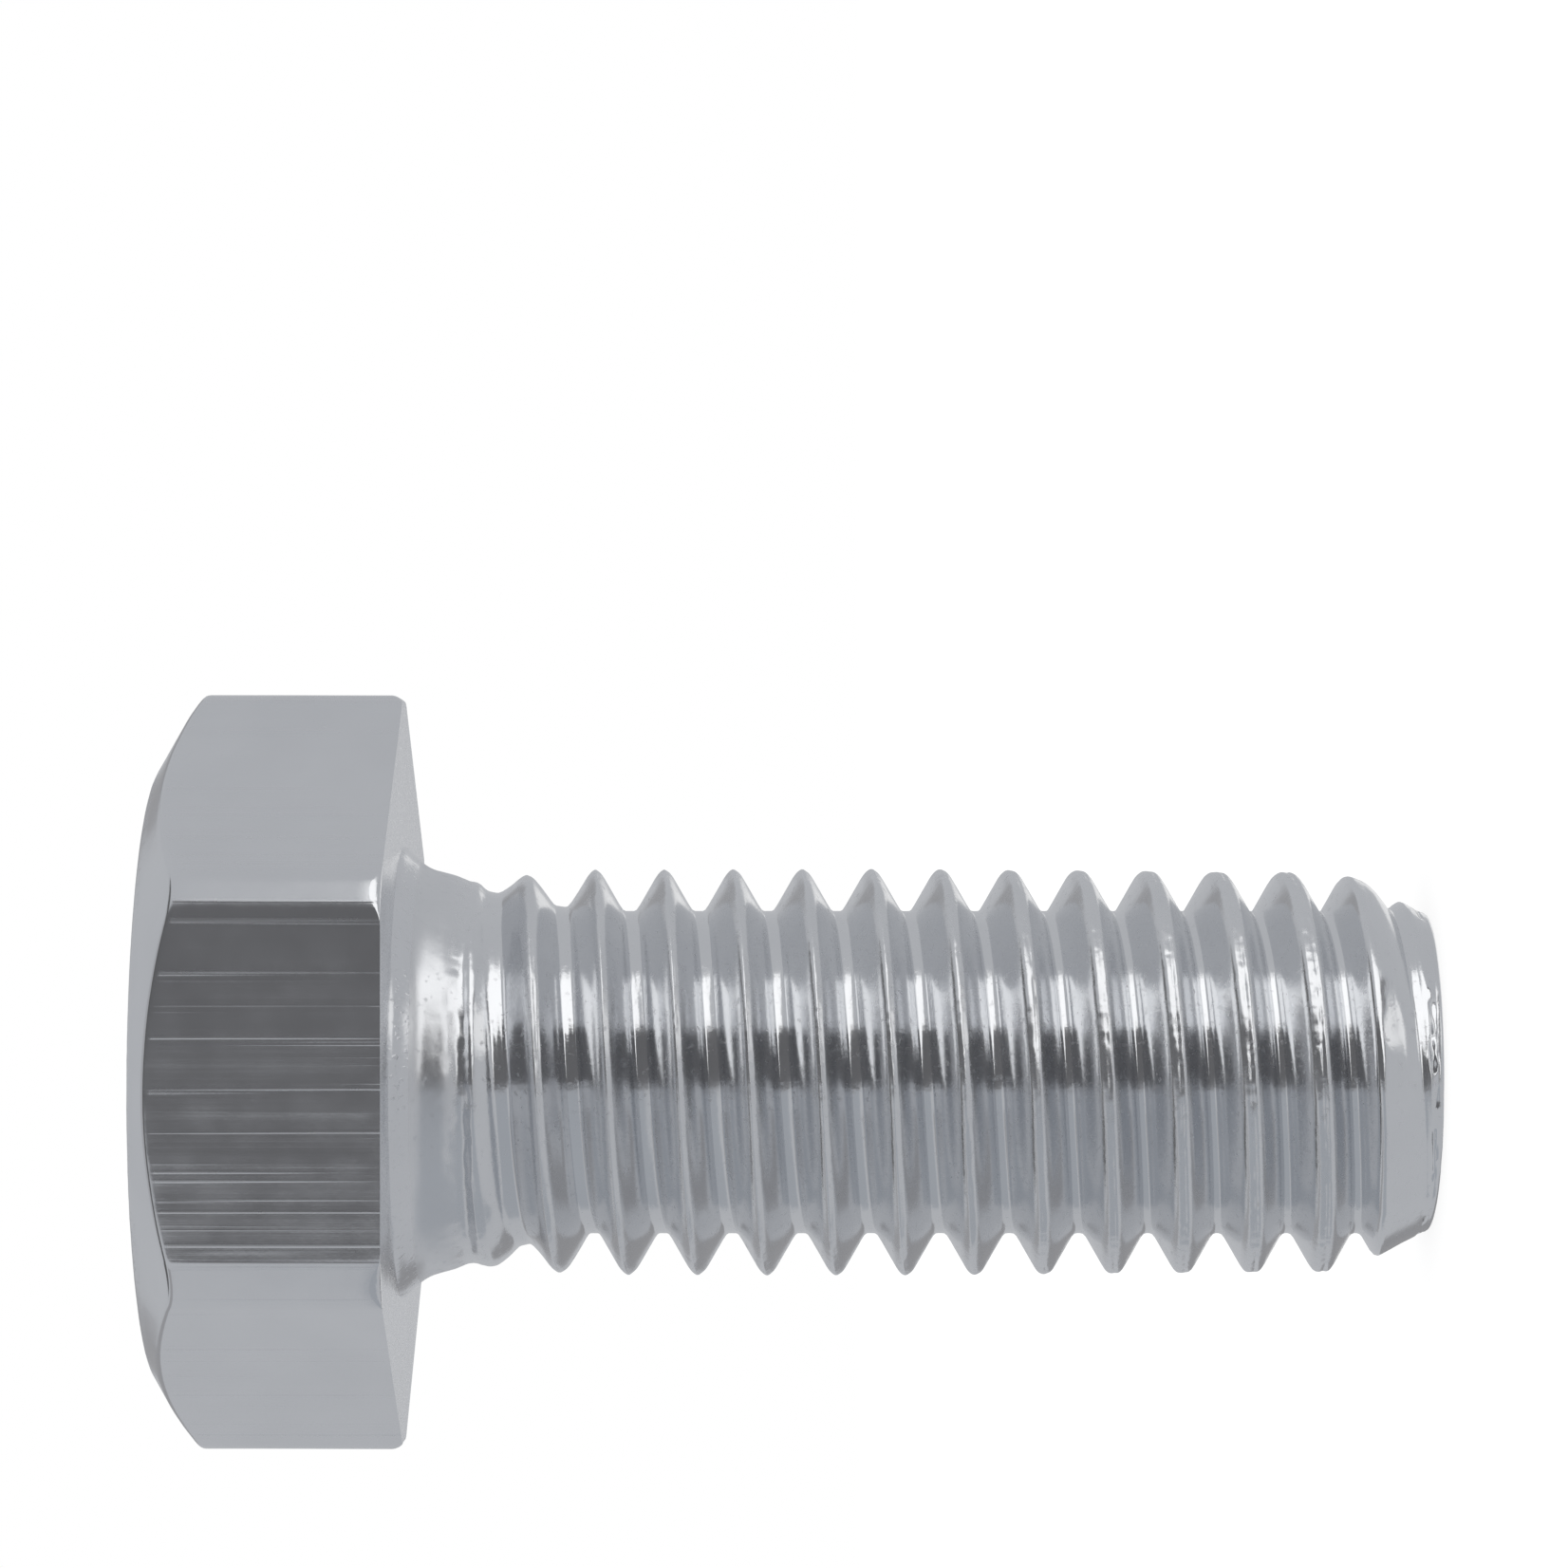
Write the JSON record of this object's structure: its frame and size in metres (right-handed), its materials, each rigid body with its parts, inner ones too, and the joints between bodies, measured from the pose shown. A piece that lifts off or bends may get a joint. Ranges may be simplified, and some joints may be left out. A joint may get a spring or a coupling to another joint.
{
  "type": "hex bolt",
  "caption": "Plain hex-head bolt with a coarse right-hand thread along its whole shank, which clamps plates by its head and a nut or tapped hole.",
  "frame": {"origin": "centre of the bearing face under the head, on the bolt's axis", "axes": "+Z along the axis, from the thread's tip up through the head; +Y and -Y square to one pair of wrench flats; +X and -X through two corners of the hexagon. The bolt stands on its tip."},
  "size_m": [0.011, 0.0096, 0.0184],
  "materials": {
    "zinc_head": "bright zinc plate over drawn and forged steel, with fine streaks along the flats",
    "zinc_shank": "bright zinc plate over rolled thread, glossy on the flanks and rougher on the crests"
  },
  "bodies": {
    "root": {"hex_head": "zinc_head", "plain_neck": "zinc_shank", "thread_runout": "zinc_shank", "threaded_shank": "zinc_shank", "chamfered_point": "zinc_shank"}
  },
  "joints": []
}
